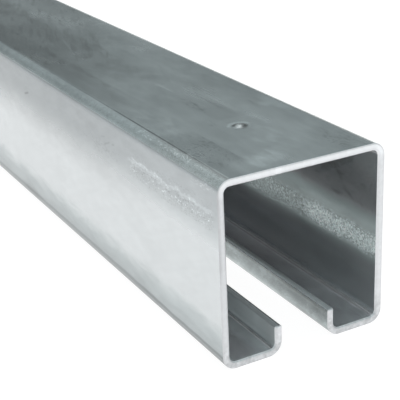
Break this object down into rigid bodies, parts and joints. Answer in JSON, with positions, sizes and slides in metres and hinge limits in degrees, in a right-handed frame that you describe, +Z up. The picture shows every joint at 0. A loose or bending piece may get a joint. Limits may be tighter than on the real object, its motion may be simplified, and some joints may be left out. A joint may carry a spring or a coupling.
{
  "type": "monorail track",
  "caption": "Straight galvanised steel monorail track: a square roll-formed channel, slotted along the underside, with upturned lips that keep a hanging trolley inside.",
  "frame": {"origin": "under the middle of the length, on the centreline, level with the underside of the two bottom flanges", "axes": "+Z up through the crown, the slot facing down; Y along the track with the cut end that the picture shows at -Y; +X to the right when looking in at that end"},
  "size_m": [0.06, 2, 0.0635],
  "materials": {
    "galvanised_steel": "zinc-coated steel, dull satin with cloudy stains, fine lengthwise rolling marks and a fine spangle"
  },
  "bodies": {
    "root": {"track_profile": "galvanised_steel"}
  },
  "joints": []
}
